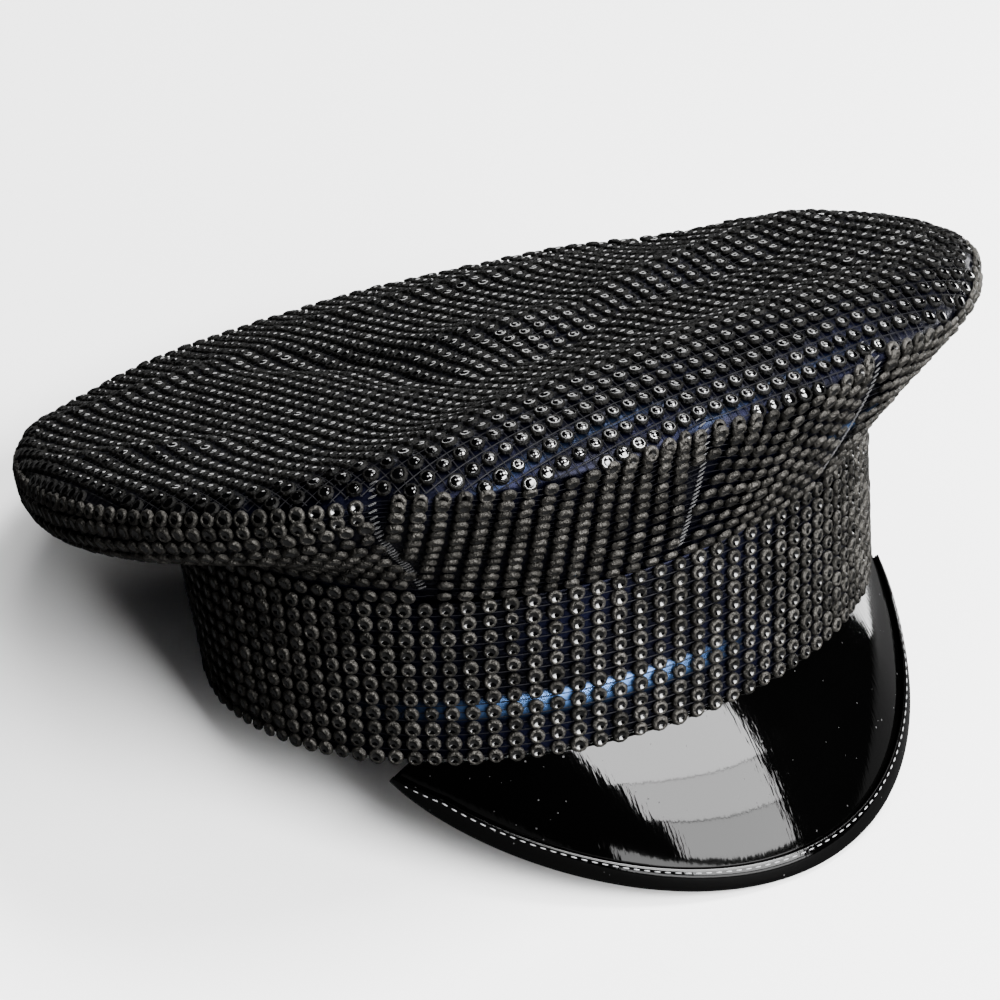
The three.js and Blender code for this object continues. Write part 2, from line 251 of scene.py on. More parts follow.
    def edge_seam(self, azimuth: Array) -> Array:
        """Return the level of the seam between the top and the side panels."""
        seams = np.radians(self.seams)
        level = np.full_like(azimuth, self.edge_seam_level)
        for low, high in zip(seams[:-1], seams[1:]):
            share = (azimuth - low) / (high - low)
            sag = self.edge_seam_sag * np.sin(np.pi * share) ** 2
            level = np.where((share > 0) & (share < 1), self.edge_seam_level + sag, level)
        return level

    def peak_face(self, sweep: Array, level: Array) -> Array:
        """Return points in the middle of the peak's sheet, from the band (0) to its edge (1)."""
        ends = np.radians(self.peak_end - self.peak_end_skew * np.sin(sweep))
        under = (self.stone_layer + self.layer_gap + self.band_satin) / 2
        half_width = self.band_width / 2 - under
        half_length = self.band_length / 2 - under
        azimuth = sweep / (math.pi / 2) * ends
        forward = np.clip(np.cos(sweep), 0, None)
        below = np.full_like(azimuth, -self.peak_below_band)
        fall = (self.peak_drop - self.peak_below_band) * forward ** self.peak_drop_power
        inner = np.stack([half_width * np.sin(azimuth), -half_length * np.cos(azimuth), below], -1)
        outer = np.stack([
            half_width * np.sin(ends) * np.sin(sweep),
            -half_length * np.cos(ends) - self.peak_reach * forward ** self.peak_reach_power,
            below - fall,
        ], axis=-1)
        rise = np.full_like(azimuth, self.peak_bulge_rise)
        bulge = np.stack([np.sin(azimuth), -np.cos(azimuth), rise], axis=-1)
        bulge = bulge / np.linalg.norm(bulge, axis=-1, keepdims=True)
        lift = self.peak_bulge * 4 * level * (1 - level) * forward
        return inner + (outer - inner) * level[..., None] + bulge * lift[..., None]

    def at_rest(self, points: Array) -> Array:
        """Return points of the worn cap where they lie when it rests on the table."""
        turn = math.radians(self.tilt)
        x, y, z = points[..., 0], points[..., 1], points[..., 2]
        turned = np.stack([
            x,
            y * math.cos(turn) + z * math.sin(turn),
            z * math.cos(turn) - y * math.sin(turn),
        ], axis=-1)
        return turned + np.array(self.place)


FORM = CapForm()


def unit(vectors: Array) -> Array:
    """Return the vectors with length one."""
    return vectors / np.maximum(np.linalg.norm(vectors, axis=-1, keepdims=True), 1e-9)


def reach_along(line: Array) -> Array:
    """Return the distances along a line of points from its start."""
    return np.concatenate([[0], np.cumsum(np.linalg.norm(np.diff(line, axis=0), axis=-1))])


def face_frame(face: Face, u: Array, v: Array) -> tuple[Array, Array]:
    """Return the outward normal of a face and the direction along u at each place."""
    along_u = face(u + FRAME_STEP, v) - face(u - FRAME_STEP, v)
    along_v = face(u, v + FRAME_STEP) - face(u, v - FRAME_STEP)
    return unit(np.cross(along_v, along_u)), unit(along_u)


def below_face(face: Face, u: Array, v: Array, depth: Array | float) -> Array:
    """Return the points of a face moved inwards by a depth."""
    normal, _ = face_frame(face, u, v)
    return face(u, v) - normal * np.broadcast_to(depth, u.shape)[..., None]


class NodeTree:
    """Adds nodes to a tree and links them."""

    def __init__(self, tree: bpy.types.NodeTree) -> None:
        """Keep the tree, emptied of its default nodes."""
        self.tree = tree
        self.tree.nodes.clear()

    def add(self, kind: str, inputs: dict | None = None, **settings: object) -> bpy.types.Node:
        """Add one node.

        Args:
            kind: the node's type.
            inputs: socket name or number to a value or to another node's output.
            settings: properties of the node.

        Returns:
            The new node.
        """
        node = self.tree.nodes.new(kind)
        for name, value in settings.items():
            setattr(node, name, value)
        for name, value in (inputs or {}).items():
            socket = node.inputs[name]
            if isinstance(value, bpy.types.NodeSocket):
                self.tree.links.new(value, socket)
            else:
                socket.default_value = value
        return node

    def math(self, operation: str, *values: object) -> bpy.types.NodeSocket:
        """Return the output of a math node."""
        node = self.add("ShaderNodeMath", dict(enumerate(values)), operation=operation)
        return node.outputs[0]

    def ramp(self, value: object, low: float, high: float,
             start: float, end: float) -> bpy.types.NodeSocket:
        """Return a value moved from one range into another, held at its ends."""
        inputs = {"Value": value, "From Min": low, "From Max": high, "To Min": start, "To Max": end}
        return self.add("ShaderNodeMapRange", inputs).outputs[0]

    def blend(self, share: object, first: object, second: object) -> bpy.types.NodeSocket:
        """Return a colour mixed from two colours."""
        node = self.add("ShaderNodeMix", {0: share, 6: first, 7: second}, data_type="RGBA")
        return node.outputs[2]

    def noise(self, where: object, scale: float, detail: float = 2.0) -> bpy.types.NodeSocket:
        """Return noise between 0 and 1 at a scale in cycles per metre."""
        inputs = {"Vector": where, "Scale": scale, "Detail": detail}
        return self.add("ShaderNodeTexNoise", inputs).outputs[0]

    def places(self) -> bpy.types.NodeSocket:
        """Return the object's own coordinates."""
        return self.add("ShaderNodeTexCoord").outputs["Object"]

    def bump(self, height: object, distance: float, strength: float = 1.0,
             under: bpy.types.NodeSocket | None = None) -> bpy.types.NodeSocket:
        """Return the normal that a height gives, on top of another normal where one is given."""
        inputs = {"Height": height, "Distance": distance, "Strength": strength}
        if under is not None:
            inputs["Normal"] = under
        return self.add("ShaderNodeBump", inputs).outputs[0]


def new_group(name: str, inputs: dict[str, float], outputs: Sequence[str]) -> bpy.types.NodeTree:
    """Return a new shader node group with number inputs, a vector called Where and number outputs."""
    group = bpy.data.node_groups.new(name, "ShaderNodeTree")
    group.interface.new_socket("Where", in_out="INPUT", socket_type="NodeSocketVector")
    for label, value in inputs.items():
        socket = group.interface.new_socket(label, in_out="INPUT", socket_type="NodeSocketFloat")
        socket.default_value = value
    for label in outputs:
        group.interface.new_socket(label, in_out="OUTPUT", socket_type="NodeSocketFloat")
    return group


def thread_net_group() -> bpy.types.NodeTree:
    """Build the group that draws a net: threads along the lines of a half-unit grid."""
    group = new_group("thread_net", {"Upright": 0.1, "Level": 0.1}, ("Thread", "Height"))
    nodes = NodeTree(group)
    given = nodes.add("NodeGroupInput")
    axes = nodes.add("ShaderNodeSeparateXYZ", {0: given.outputs["Where"]})
    insides = []
    for axis, width in enumerate(("Upright", "Level")):
        doubled = nodes.math("MULTIPLY", axes.outputs[axis], 2.0)
        distance = nodes.math("PINGPONG", doubled, 0.5)
        insides.append(nodes.math("SUBTRACT", given.outputs[width], distance))
    inside = nodes.math("MAXIMUM", *insides)
    thread = nodes.math("GREATER_THAN", inside, 0.0)
    height = nodes.math("MULTIPLY", inside, 8.0)
    nodes.add("NodeGroupOutput", {"Thread": thread, "Height": height})
    return group


def satin_weave_group() -> bpy.types.NodeTree:
    """Build the group of the satin's fine weave and its soft unevenness."""
    group = new_group("satin_weave", {"Threads": 2600.0}, ("Weave", "Cloud"))
    nodes = NodeTree(group)
    given = nodes.add("NodeGroupInput")
    waves = []
    for direction in ("X", "Z"):
        wave = nodes.add("ShaderNodeTexWave", {
            "Vector": given.outputs["Where"], "Scale": given.outputs["Threads"], "Distortion": 1.2,
        }, wave_type="BANDS", bands_direction=direction)
        waves.append(wave.outputs["Fac"])
    weave = nodes.math("MULTIPLY", waves[0], waves[1])
    cloud = nodes.noise(given.outputs["Where"], 55.0, 3.0)
    nodes.add("NodeGroupOutput", {"Weave": weave, "Cloud": cloud})
    return group


def worn_gloss_group() -> bpy.types.NodeTree:
    """Build the group of a glossy skin: fine grain, slow waves, dust specks and smears."""
    inputs = {"Dust Scale": 300.0, "Dust Size": 0.075}
    group = new_group("worn_gloss", inputs, ("Grain", "Wave", "Dust", "Smear"))
    nodes = NodeTree(group)
    given = nodes.add("NodeGroupInput")
    where = given.outputs["Where"]
    lines = nodes.add("ShaderNodeVectorMath", {0: where, 1: (1.0, 0.15, 0.15)}, operation="MULTIPLY")
    grain = nodes.noise(lines.outputs[0], 1100.0, 2.0)
    wave = nodes.noise(where, 34.0, 1.0)
    cells = nodes.add("ShaderNodeTexVoronoi", {"Vector": where, "Scale": given.outputs["Dust Scale"]})
    patchy = nodes.noise(where, 60.0, 2.0)
    size = nodes.math("MULTIPLY", given.outputs["Dust Size"], nodes.ramp(patchy, 0.35, 0.7, 0.25, 1.4))
    dust = nodes.math("LESS_THAN", cells.outputs["Distance"], size)
    smear = nodes.noise(where, 16.0, 5.0)
    nodes.add("NodeGroupOutput", {"Grain": grain, "Wave": wave, "Dust": dust, "Smear": smear})
    return group


@dataclass
class GroupShelf:
    """Builds each shared node group once."""

    made: dict[str, bpy.types.NodeTree] = field(default_factory=dict)

    def place(self, nodes: NodeTree, build: Callable[[], bpy.types.NodeTree],
              inputs: dict) -> bpy.types.Node:
        """Add a group to a material, building it the first time."""
        if build.__name__ not in self.made:
            self.made[build.__name__] = build()
        return nodes.add("ShaderNodeGroup", inputs, node_tree=self.made[build.__name__])


GROUPS = GroupShelf()


def new_material(name: str) -> tuple[bpy.types.Material, NodeTree]:
    """Return a new material and its node tree."""
    material = bpy.data.materials.new(name)
    material.use_nodes = True
    return material, NodeTree(material.node_tree)


def surface(nodes: NodeTree, inputs: dict) -> None:
    """Add the surface shader with its inputs and the output."""
    shader = nodes.add("ShaderNodeBsdfPrincipled", inputs)
    nodes.add("ShaderNodeOutputMaterial", {"Surface": shader.outputs[0]})


@dataclass(frozen=True)
class JetStone:
    """Black glass of the stones."""

    colour: Colour = (0.0001, 0.0001, 0.0001, 1.0)
    paler: Colour = (0.0004, 0.0004, 0.0005, 1.0)
    roughness: float = 0.05
    duller: float = 0.12
    refraction: float = 1.85

    def material(self) -> bpy.types.Material:
        """Build the material, a little different from stone to stone."""
        material, nodes = new_material("jet_stone")
        shade = nodes.add("ShaderNodeAttribute", attribute_name="stone_shade").outputs["Fac"]
        surface(nodes, {
            "Base Color": nodes.blend(shade, self.colour, self.paler),
            "Roughness": nodes.ramp(shade, 0, 1, self.roughness, self.duller),
            "IOR": self.refraction,
        })
        return material


@dataclass(frozen=True)
class CupRim:
    """Dark rim of the cup that holds each stone."""

    name: str
    dark: Colour
    light: Colour
    roughness: float
    metallic: float

    def material(self) -> bpy.types.Material:
        """Build the material, duller and brighter from cup to cup."""
        material, nodes = new_material(self.name)
        shade = nodes.add("ShaderNodeAttribute", attribute_name="stone_shade").outputs["Fac"]
        wear = nodes.noise(nodes.places(), 900.0, 3.0)
        share = nodes.ramp(nodes.math("MULTIPLY", shade, wear), 0.0, 0.6, 0.15, 1.0)
        surface(nodes, {
            "Base Color": nodes.blend(share, self.dark, self.light),
            "Metallic": self.metallic,
            "Specular IOR Level": 0.08,
            "Roughness": nodes.ramp(wear, 0.3, 0.7, self.roughness, self.roughness + 0.15),
            "Normal": nodes.bump(wear, 0.9 * MM),
        })
        return material


GREY_CUP = CupRim("cup_rim", (0.01, 0.0096, 0.0088, 1.0), (0.062, 0.059, 0.054, 1.0), 0.42, 0.8)
DARK_CUP = CupRim("dark_cup_rim", (0.0003, 0.0003, 0.0003, 1.0), (0.0042, 0.004, 0.0036, 1.0), 0.4, 0.05)


@dataclass(frozen=True)
class StoneNet:
    """Thin net that the stones sit on, open between its threads."""

    name: str
    upright: float
    level: float
    colour: Colour = (0.005, 0.005, 0.006, 1.0)

    def material(self) -> bpy.types.Material:
        """Build the material on the piece's own map, whose unit is one stone."""
        material, nodes = new_material(self.name)
        where = nodes.add("ShaderNodeUVMap", uv_map="stones").outputs[0]
        widths = {"Where": where, "Upright": self.upright, "Level": self.level}
        net = GROUPS.place(nodes, thread_net_group, widths)
        surface(nodes, {
            "Base Color": self.colour,
            "Specular IOR Level": 0.1,
            "Roughness": 0.5,
            "Alpha": net.outputs["Thread"],
            "Normal": nodes.bump(net.outputs["Height"], 0.2 * MM),
        })
        return material


@dataclass(frozen=True)
class NavySatin:
    """Navy satin, near black, with a pale blue glint painted into its colour where it swells."""

    deep: Colour = (0.0003, 0.0004, 0.0022, 1.0)
    lit: Colour = (0.0022, 0.003, 0.017, 1.0)
    # Pale blue painted into the base colour as the satin's glint.
    painted_glint_colour: Colour = (0.2, 0.42, 0.95, 1.0)
    weave_rise: float = 0.03
    swell_rise: float = 1.0

    def material(self) -> bpy.types.Material:
        """Build the material with its weave, its clouds, and the swells and painted glint that its
        attribute gives.
        """
        material, nodes = new_material("navy_satin")
        where = nodes.places()
        cloth = GROUPS.place(nodes, satin_weave_group, {"Where": where, "Threads": 2600.0})
        cloud = nodes.ramp(cloth.outputs["Cloud"], 0.35, 0.7, 0, 1)
        swell_and_painted_glint = nodes.add("ShaderNodeAttribute", attribute_name="swell_and_painted_glint").outputs["Fac"]
        weave = nodes.bump(cloth.outputs["Weave"], self.weave_rise * MM, 0.6)
        # Painted glint: the attribute blends the base colour towards pale blue in place of reflected
        # light; the same attribute also bumps the satin out.
        painted_glint = nodes.ramp(nodes.math("POWER", swell_and_painted_glint, 1.6), 0.0, 1.0, 0.0, 1.0)
        surface(nodes, {
            "Base Color": nodes.blend(painted_glint, nodes.blend(cloud, self.deep, self.lit), self.painted_glint_colour),
            "Metallic": 0.85,
            "Roughness": nodes.ramp(cloth.outputs["Cloud"], 0.3, 0.7, 0.22, 0.34),
            "Normal": nodes.bump(swell_and_painted_glint, self.swell_rise * MM, 1.0, weave),
        })
        return material


@dataclass(frozen=True)
class PatentLeather:
    """Black patent leather: a mirror with fine grain, dust and faint smears."""

    name: str = "patent_leather"
    roughness: float = 0.05
    grain: float = 0.03
    wave: float = 0.10
    refraction: float = 1.36
    colour: Colour = (0.0003, 0.0003, 0.0003, 1.0)
    dust: Colour = (0.03, 0.03, 0.03, 1.0)

    def material(self) -> bpy.types.Material:
        """Build the material."""
        material, nodes = new_material(self.name)
        where = nodes.places()
        skin = GROUPS.place(nodes, worn_gloss_group, {"Where": where})
        smear = nodes.ramp(skin.outputs["Smear"], 0.52, 0.72, 0, 0.10)
        dust = skin.outputs["Dust"]
        rough = nodes.math("ADD", smear, nodes.math("MULTIPLY", dust, 0.5))
        grain = nodes.bump(skin.outputs["Grain"], self.grain * MM, 1.0)
        surface(nodes, {
            "Base Color": nodes.blend(dust, self.colour, self.dust),
            "Roughness": nodes.math("ADD", rough, self.roughness),
            "IOR": self.refraction,
            "Normal": nodes.bump(skin.outputs["Wave"], self.wave * MM, 1.0, grain),
        })
        return material


@dataclass(frozen=True)
class StitchThread:
    """Grey thread of the seams and of the peak's edge."""

    name: str
    colour: Colour

    def material(self) -> bpy.types.Material:
        """Build the material with a fine twist."""
        material, nodes = new_material(self.name)
        twist = nodes.noise(nodes.places(), 4200.0, 2.0)
        darker = tuple(0.35 * part for part in self.colour[:3]) + (1.0,)
        surface(nodes, {
            "Base Color": nodes.blend(twist, darker, self.colour),
            "Roughness": 0.5,
            "Sheen Weight": 0.3,
            "Normal": nodes.bump(twist, 0.08 * MM),
        })
        return material


@dataclass(frozen=True)
class PaleTable:
    """Plain pale table, bright to the eye and dim in the gloss of the cap, as in a dark room."""

    seen: Colour = (0.99, 0.99, 0.99, 1.0)
    mirrored: Colour = (0.03, 0.03, 0.03, 1.0)

    def material(self) -> bpy.types.Material:
        """Build the matt material."""
        material, nodes = new_material("pale_table")
        seen = nodes.add("ShaderNodeLightPath").outputs["Is Camera Ray"]
        colour = nodes.blend(seen, self.mirrored, self.seen)
        surface(nodes, {"Base Color": colour, "Roughness": 0.8, "Specular IOR Level": 0.1})
        return material


def finish_piece(mesh: bpy.types.Mesh, materials: Sequence[bpy.types.Material], slot: Slot | None,
                 replaces: Sequence[str] = ()) -> bpy.types.Object:
    """Put a mesh into the scene as a piece of the cap.

    Args:
        mesh: the mesh, in metres and in its place.
        materials: materials in the order of the mesh's slots.
        slot: the record's material slot, or None for a piece that takes none; not used.
        replaces: CAD nodes that the piece stands for.

    Returns:
        The new object.
    """
    for material in materials:
        mesh.materials.append(material)
    piece = bpy.data.objects.new(mesh.name, mesh)
    bpy.context.scene.collection.objects.link(piece)
    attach(piece, BODY)
    if replaces:
        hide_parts(*replaces)
    return piece


def shaped_grid(columns: int, rows: int, place: Face) -> bmesh.types.BMesh:
    """Make a grid and move its points onto a face.

    Args:
        columns: faces along the first share.
        rows: faces along the second share.
        place: points for two arrays of shares between 0 and 1, in millimetres at rest.

    Returns:
        The grid, with its shares kept in the layers share_u and share_v.
    """
    mesh = bmesh.new()
    bmesh.ops.create_grid(mesh, x_segments=columns, y_segments=rows, size=0.5)
    mesh.verts.ensure_lookup_table()
    shares = np.array([tuple(vert.co) for vert in mesh.verts])[:, :2] + 0.5
    keep_u = mesh.verts.layers.float.new("share_u")
    keep_v = mesh.verts.layers.float.new("share_v")
    places = place(shares[:, 0], shares[:, 1]) * MM
    for vert, (u, v), point in zip(mesh.verts, shares, places):
        vert.co = point
        vert[keep_u] = u
        vert[keep_v] = v
    bmesh.ops.reverse_faces(mesh, faces=mesh.faces[:])
    for one in mesh.faces:
        one.smooth = True
    return mesh


def map_grid(mesh: bmesh.types.BMesh, chart: Face, layer: str) -> None:
    """Give a shaped grid a map from its kept shares."""
    keep_u = mesh.verts.layers.float["share_u"]
    keep_v = mesh.verts.layers.float["share_v"]
    shares = np.array([(vert[keep_u], vert[keep_v]) for vert in mesh.verts])
    mesh.verts.index_update()
    charted = chart(shares[:, 0], shares[:, 1])
    uv = mesh.loops.layers.uv.new(layer)
    for one in mesh.faces:
        for loop in one.loops:
            loop[uv].uv = charted[loop.vert.index]


def mark_grid(mesh: bmesh.types.BMesh, value: Face, layer: str) -> None:
    """Give a shaped grid a value at each point from its kept shares."""
    keep_u = mesh.verts.layers.float["share_u"]
    keep_v = mesh.verts.layers.float["share_v"]
    marks = mesh.verts.layers.float.new(layer)
    shares = np.array([(vert[keep_u], vert[keep_v]) for vert in mesh.verts])
    for vert, one in zip(mesh.verts, value(shares[:, 0], shares[:, 1])):
        vert[marks] = one


def close_grid(mesh: bmesh.types.BMesh, name: str) -> bpy.types.Mesh:
    """Merge a grid's joined edges and return it as a mesh."""
    bmesh.ops.remove_doubles(mesh, verts=mesh.verts[:], dist=MERGE_DISTANCE * MM)
    made = bpy.data.meshes.new(name)
    mesh.to_mesh(made)
    mesh.free()
    return made


def thicken(piece: bpy.types.Object, thickness: float) -> None:
    """Give a sheet its thickness inwards, in millimetres."""
    wall = piece.modifiers.new("wall", "SOLIDIFY")
    wall.thickness = thickness * MM
    wall.offset = -1.0
    wall.use_even_offset = False


@dataclass(frozen=True)
class StoneShape:
    """One stone in its cup: a rounded rim round a faceted dish, in millimetres.

    The section runs from the cup's foot to the stone's centre, as pairs of a radius and a height.
    """

    section: tuple
    stone_radius: float
    sides: int = 10

    def template(self) -> tuple[Array, list[list[int]], list[int]]:
        """Spin the stone's section round its axis.

        Returns:
            Points, faces and the material number of each face: 0 for the cup, 1 for the stone.
        """
        mesh = bmesh.new()
        verts = [mesh.verts.new((radius, 0.0, height)) for radius, height in self.section]
        edges = [mesh.edges.new(pair) for pair in zip(verts[:-1], verts[1:])]
        bmesh.ops.spin(mesh, geom=verts + edges, axis=(0, 0, 1), cent=(0, 0, 0), angle=2 * math.pi,
                       steps=self.sides, use_merge=True)
        bmesh.ops.remove_doubles(mesh, verts=mesh.verts[:], dist=1e-4)
        bmesh.ops.recalc_face_normals(mesh, faces=mesh.faces[:])
        upward = sum(one.normal.z for one in mesh.faces)
        if upward < 0:
            bmesh.ops.reverse_faces(mesh, faces=mesh.faces[:])
        mesh.verts.index_update()
        points = np.array([tuple(vert.co) for vert in mesh.verts])
        faces = [[vert.index for vert in one.verts] for one in mesh.faces]
        inside = self.stone_radius + 0.02
        kinds = [int(max(math.hypot(*vert.co.xy) for vert in one.verts) < inside) for one in mesh.faces]
        mesh.free()
        return points, faces, kinds


HOLLOW_STONE = StoneShape(
    ((2.1, 0.0), (2.26, 0.45), (2.02, 1.06), (1.62, 1.36), (1.2, 1.14), (0.5, 0.72), (0, 0.68)), 1.2)
DOMED_STONE = StoneShape(
    ((2.2, 0.1), (2.1, 0.9), (1.78, 1.12), (1.5, 1.0), (1.1, 1.22), (0.55, 1.37), (0, 1.42)), 1.5, 9)


@dataclass
class StonePlaces:
    """Places of the stones of one cloth, each array with one row a stone."""

    points: Array
    normals: Array
    tangents: Array
    scale: Array

    @staticmethod
    def joined(parts: Iterable["StonePlaces"]) -> "StonePlaces":
        """Return several sets of places as one."""
        parts = list(parts)
        names = ("points", "normals", "tangents", "scale")
        return StonePlaces(*(np.concatenate([getattr(part, name) for part in parts]) for name in names))

    @staticmethod
    def on_face(face: Face, u: Array, v: Array, depth: float) -> "StonePlaces":
        """Return the places of stones that sit on a face at a depth."""
        normal, tangent = face_frame(face, u, v)
        return StonePlaces(face(u, v) - normal * depth, normal, tangent, np.ones(len(u)))


@dataclass
class StoneCloth:
    """Stones of one cloth as a single mesh, and the net under them."""

    shape: StoneShape
    cup: bpy.types.Material
    stone: bpy.types.Material
    net: bpy.types.Material
    net_depth: float = 1.3
    lean: float = 0.05
    size_spread: float = 0.05

    def stones(self, name: str, places: StonePlaces, replaces: Sequence[str],
               seed: int) -> bpy.types.Object:
        """Join the stones of a cloth into one mesh.

        Args:
            name: the piece's name.
            places: where the stones sit, on the worn cap.
            replaces: CAD nodes that the stones stand for.
            seed: number that the small differences between stones start from.

        Returns:
            The new piece.
        """
        chance = np.random.default_rng(seed)
        count = len(places.points)
        points, faces, kinds = self.shape.template()
        normal = unit(places.normals + chance.normal(0, self.lean, (count, 3)))
        across = unit(np.cross(normal, places.tangents))
        along = np.cross(across, normal)
        spin = chance.uniform(0, 2 * math.pi, count)[:, None]
        first = along * np.cos(spin) + across * np.sin(spin)
        second = across * np.cos(spin) - along * np.sin(spin)
        size = (places.scale * (1 + chance.normal(0, self.size_spread, count)))[:, None, None]
        local = points[None] * size
        placed = (places.points[:, None] + local[..., :1] * first[:, None]
                  + local[..., 1:2] * second[:, None] + local[..., 2:] * normal[:, None])
        verts = (FORM.at_rest(placed) * MM).reshape(-1, 3)
        step = len(points)
        turned = np.linalg.det(np.stack([first[0], second[0], normal[0]])) < 0
        ordered = [one[::-1] if turned else one for one in faces]
        all_faces = [[i + step * k for i in one] for k in range(count) for one in ordered]
        mesh = bpy.data.meshes.new(name)
        mesh.from_pydata(verts.tolist(), [], all_faces)
        mesh.polygons.foreach_set("material_index", np.tile(kinds, count))
        mesh.polygons.foreach_set("use_smooth", [True] * len(mesh.polygons))
        shade = mesh.attributes.new("stone_shade", "FLOAT", "POINT")
        shade.data.foreach_set("value", np.repeat(chance.uniform(0, 1, count), step))
        mesh.update()
        return finish_piece(mesh, [self.cup, self.stone], Slot.STONES, replaces)

    def net_sheet(self, name: str, grid: bmesh.types.BMesh) -> bpy.types.Object:
        """Put a mapped grid into the scene as the net."""
        return finish_piece(close_grid(grid, name), [self.net], Slot.STONES)


@dataclass
class UnrolledTop:
    """The top laid flat: distances along the face from its centre, so that stones keep their pitch."""

    azimuth_steps: int = 361
    level_steps: int = 90
    azimuths: Array = field(init=False)
    levels: Array = field(init=False)
    reach: Array = field(init=False)

    def __post_init__(self) -> None:
        """Measure the distances from the centre along each azimuth."""
        self.azimuths = np.linspace(-math.pi, math.pi, self.azimuth_steps)
        self.levels = np.linspace(0, 2, self.level_steps)
        azimuth, level = np.meshgrid(self.azimuths, self.levels, indexing="ij")
        points = FORM.top_face(azimuth, level)
        steps = np.linalg.norm(np.diff(points, axis=1), axis=-1)
        self.reach = np.concatenate([np.zeros((self.azimuth_steps, 1)), np.cumsum(steps, axis=1)], axis=1)

    def row(self, azimuth: float) -> Array:
        """Return the distances along one azimuth."""
        share = (azimuth + math.pi) / (2 * math.pi) * (self.azimuth_steps - 1)
        low = min(int(share), self.azimuth_steps - 2)
        part = share - low
        return self.reach[low] * (1 - part) + self.reach[low + 1] * part

    def flat(self, azimuth: Array, level: Array) -> Array:
        """Return places on the flat top for places on the face."""
        reach = np.array([np.interp(l, self.levels, self.row(a)) for a, l in zip(azimuth, level)])
        return np.stack([reach * np.sin(azimuth), -reach * np.cos(azimuth)], axis=-1)

    def level(self, azimuth: Array, reach: Array) -> Array:
        """Return the level of each place on the flat top."""
        return np.array([np.interp(r, self.row(a), self.levels, right=9) for a, r in zip(azimuth, reach)])


@dataclass
class CrownTop:
    """The crown's top: one cloth of stones in rows across the cap, over a net."""

    cloth: StoneCloth
    pitch_across: float = 5.65
    pitch_back: float = 5.4
    pitch_front: float = 6.4
    front_line: float = -72.0
    column_lean: float = 0.204
    sway: float = 0.8
    slow_sway: float = 31.0
    quick_sway: float = 13.0
    quick_share: float = 0.6
    row_numbers: tuple = (-16, 44)
    column_numbers: tuple = (-36, 37)
    edge_gap: float = 0.05
    net_gap: float = 0.02
    columns: int = 240
    rows: int = 46

    def rows_at(self, y: Array) -> Array:
        """Return the row number at a place of the flat top, rows being wider at the front."""
        front = np.minimum(y - self.front_line, 0)
        back = np.maximum(y - self.front_line, 0)
        return front / self.pitch_front + back / self.pitch_back

    def row_place(self, row: Array) -> Array:
        """Return the place of each row on the flat top."""
        front = np.minimum(row, 0) * self.pitch_front
        back = np.maximum(row, 0) * self.pitch_back
        return self.front_line + front + back

    def waves(self, x: Array, row: Array) -> Array:
        """Return how far each row sways from a straight line."""
        slow = np.sin(x / self.slow_sway + row * 0.11)
        quick = np.sin(x / self.quick_sway + row * 0.35)
        return self.sway * (slow + self.quick_share * quick)

    def places(self, top: UnrolledTop) -> StonePlaces:
        """Return the places of the top's stones."""
        numbers = np.arange(*self.row_numbers), np.arange(*self.column_numbers)
        row, column = (grid.ravel().astype(float) for grid in np.meshgrid(*numbers, indexing="ij"))
        y = self.row_place(row)
        x = column * self.pitch_across + self.column_lean * y
        y = y + self.waves(x, row)
        azimuth = np.arctan2(x, -y)
        level = top.level(azimuth, np.hypot(x, y))
        kept = level < FORM.edge_seam(azimuth) - self.edge_gap
        return StonePlaces.on_face(FORM.crown_face, azimuth[kept], level[kept], self.cloth.net_depth)

    def spot(self, u: Array, v: Array) -> tuple[Array, Array]:
        """Return the azimuth and the level at two shares of the net."""
        azimuth = (u * 2 - 1) * math.pi
        return azimuth, np.maximum(v, TINY_LEVEL) * (FORM.edge_seam(azimuth) - self.net_gap)

    def net_place(self, u: Array, v: Array) -> Array:
        """Return points of the net at rest."""
        return FORM.at_rest(below_face(FORM.crown_face, *self.spot(u, v), self.cloth.net_depth))

    def build(self) -> list[bpy.types.Object]:
        """Build the stones and the net."""
        top = UnrolledTop()
        stones = self.cloth.stones("crown_top_stone_cloth", self.places(top), ["crown_top_stones"], SEED)

        def chart(u: Array, v: Array) -> Array:
            """Return the stone column and row at two shares of the net."""
            flat = top.flat(*self.spot(u, v))
            row = self.rows_at(flat[:, 1])
            flat[:, 1] -= self.waves(flat[:, 0], row)
            column = (flat[:, 0] - self.column_lean * flat[:, 1]) / self.pitch_across
            return np.stack([column, self.rows_at(flat[:, 1])], axis=-1)

        grid = shaped_grid(self.columns, self.rows, self.net_place)
        map_grid(grid, chart, "stones")
        return [stones, self.cloth.net_sheet("crown_top_net", grid)]


